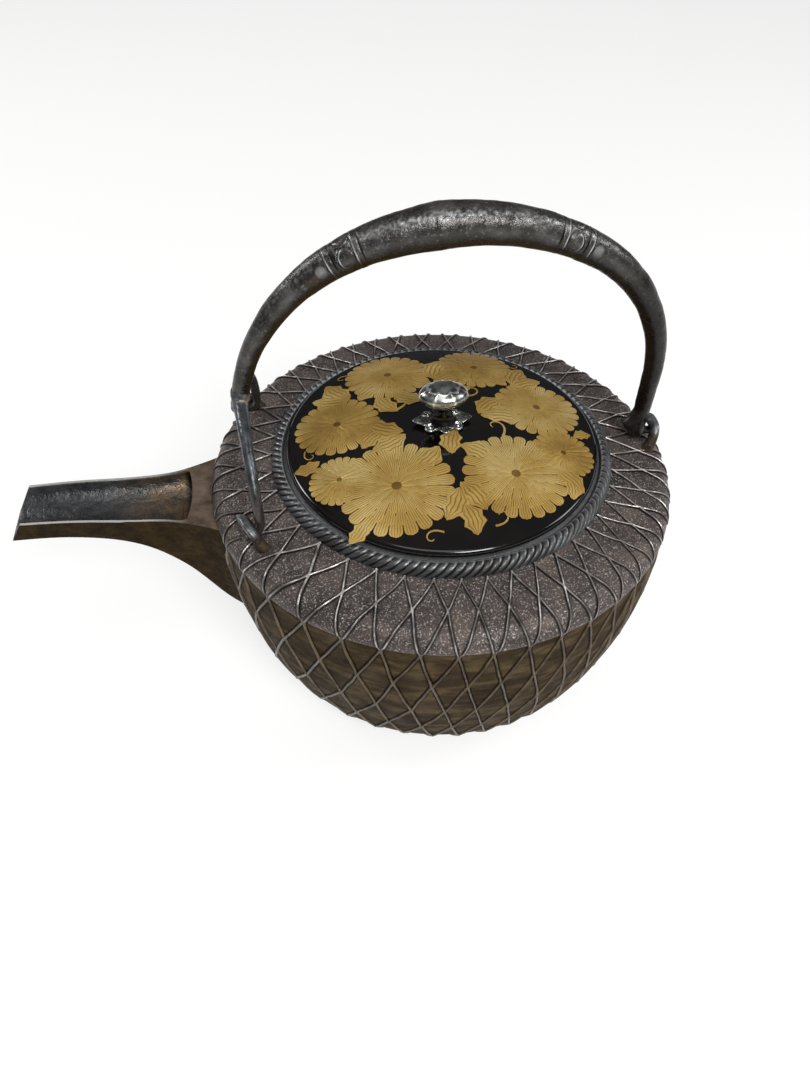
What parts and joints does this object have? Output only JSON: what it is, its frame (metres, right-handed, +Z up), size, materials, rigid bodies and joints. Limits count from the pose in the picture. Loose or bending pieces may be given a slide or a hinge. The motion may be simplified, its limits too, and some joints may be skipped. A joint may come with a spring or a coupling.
{
  "type": "cast iron ewer",
  "caption": "Wide low cast-iron pot with net relief, an open pouring channel, a forged three-legged bail handle and a domed black lacquer lid with a silver knob.",
  "frame": {"origin": "centre of the flat base, on the axis of the bowl", "axes": "+Z up along the axis of the bowl, -X along the pouring channel"},
  "size_m": [0.2288, 0.16, 0.1777],
  "materials": {
    "cast_iron": "dark purple-brown patina on cast iron",
    "forged_iron": "blackened forged iron with rust traces",
    "lacquered_wood": "gloss black lacquer with gold design",
    "silver": "worn silver"
  },
  "bodies": {
    "pot": {"pot_body": "cast_iron", "handle_bail": "forged_iron", "front_yoke": "forged_iron"},
    "lid": {"lid": "lacquered_wood", "knob_seat": "silver", "knob": "silver", "lid_washer": "silver", "knob_split_pin": "silver"}
  },
  "joints": [
    {"name": "lid_lift", "type": "slide", "parent": "pot", "child": "lid", "axis": [0, 0, 1], "range_m": [0, 0.036]}
  ]
}
